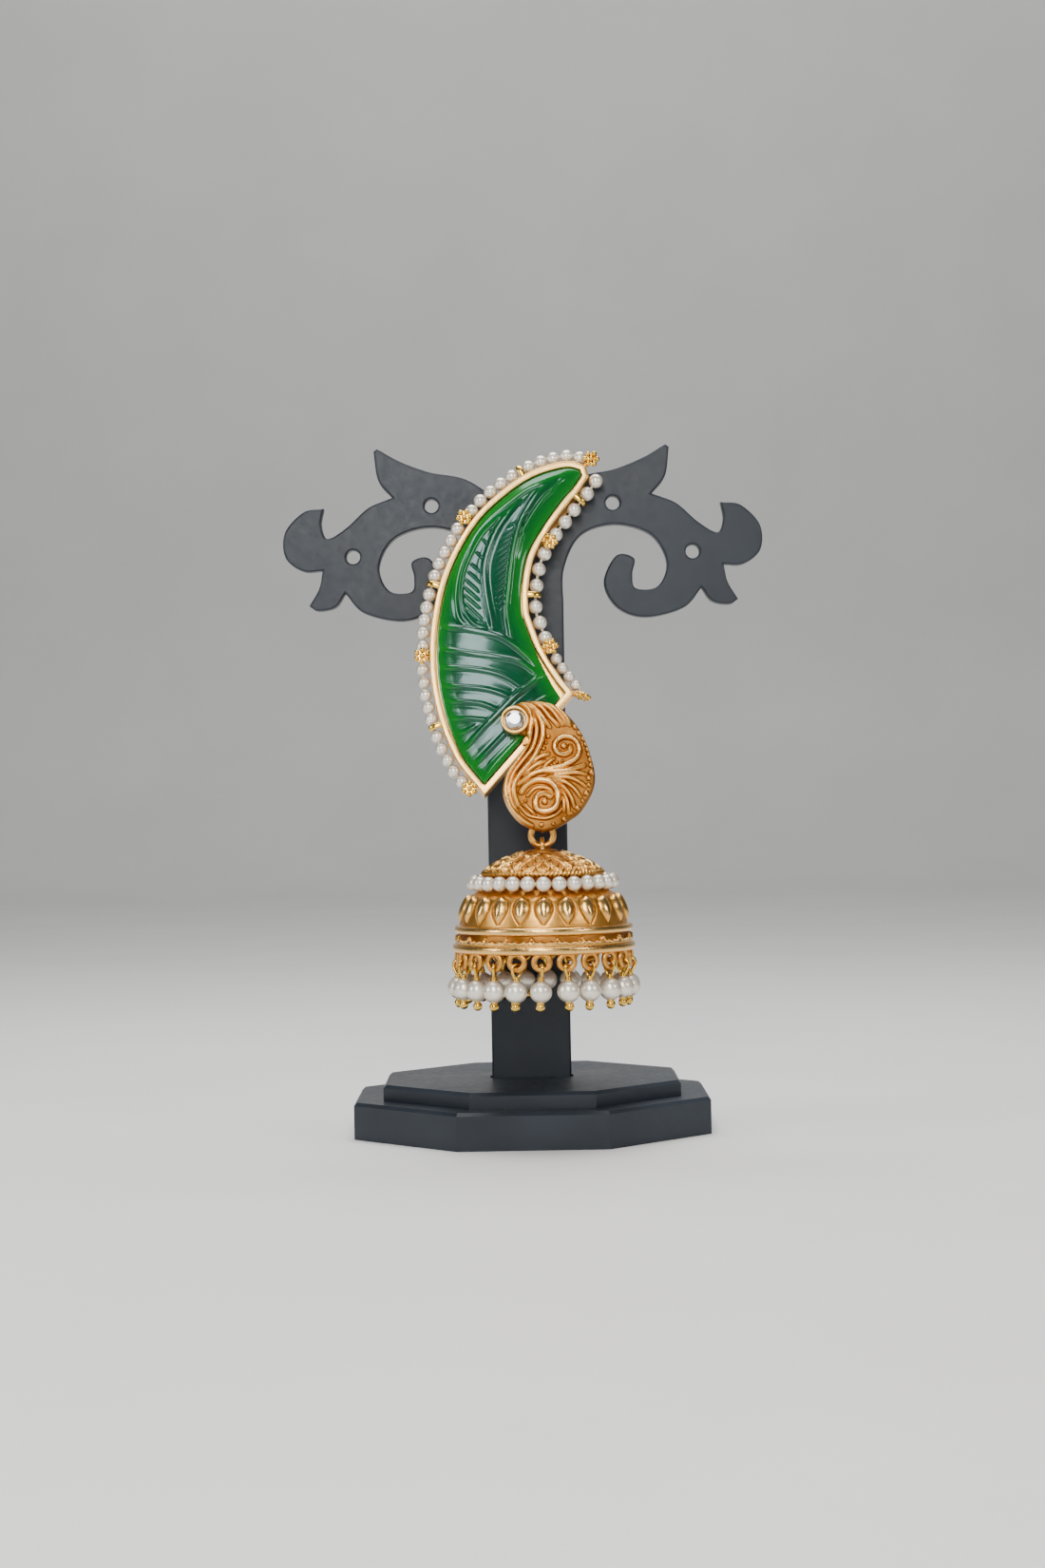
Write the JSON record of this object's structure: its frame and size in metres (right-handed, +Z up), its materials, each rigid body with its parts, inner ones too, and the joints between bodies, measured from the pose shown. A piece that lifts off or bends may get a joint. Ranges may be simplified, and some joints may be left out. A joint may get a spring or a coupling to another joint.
{
  "type": "jhumka earring on a display stand",
  "caption": "Gold jhumka earring with a carved green crescent, pearl borders, a paisley plaque and a swinging pearl-fringed bell, hung on a black scroll display stand.",
  "frame": {"origin": "centre of the underside of the stand's base", "axes": "+X to the viewer's right, +Y to the back, +Z up"},
  "size_m": [0.0756, 0.0592, 0.1075],
  "materials": {
    "stand_black": "satin black, thin light edges",
    "bright_gold": "bright pale gold plating",
    "antique_gold": "matte antique gold plating with bright worn ridges",
    "green_stone": "polished carved translucent green",
    "clear_stone": "clear cut stone",
    "pearl": "warm off-white pearl lustre"
  },
  "bodies": {
    "stand": {"stand_base": "stand_black", "stand_tree": "stand_black", "crescent_setting": "bright_gold", "carved_stone": "green_stone", "outer_pearl_string": "pearl", "inner_pearl_string": "pearl", "paisley_plaque": "antique_gold", "round_stone": "clear_stone", "ear_post": "bright_gold"},
    "ring": {"jump_ring": "bright_gold"},
    "bell": {"bell_dome": "antique_gold", "bell_pearl_ring": "pearl", "pearl_drop_01": "pearl", "pearl_drop_02": "pearl", "pearl_drop_03": "pearl", "pearl_drop_04": "pearl", "pearl_drop_05": "pearl", "pearl_drop_06": "pearl", "pearl_drop_07": "pearl", "pearl_drop_08": "pearl", "pearl_drop_09": "pearl", "pearl_drop_10": "pearl", "pearl_drop_11": "pearl", "pearl_drop_12": "pearl", "pearl_drop_13": "pearl", "pearl_drop_14": "pearl", "pearl_drop_15": "pearl", "pearl_drop_16": "pearl", "pearl_drop_17": "pearl", "pearl_drop_18": "pearl", "pearl_drop_19": "pearl", "pearl_drop_20": "pearl", "pearl_drop_21": "pearl", "pearl_drop_22": "pearl"}
  },
  "joints": [
    {"name": "ring_swing", "type": "hinge", "parent": "stand", "child": "ring", "pos_m": [0.00215, -0.01691, 0.04714], "axis": [0, 1, 0], "range_deg": [-20, 20]},
    {"name": "bell_swing", "type": "hinge", "parent": "ring", "child": "bell", "pos_m": [0.00215, -0.01691, 0.04484], "axis": [1, 0, 0], "range_deg": [-25, 1]}
  ]
}
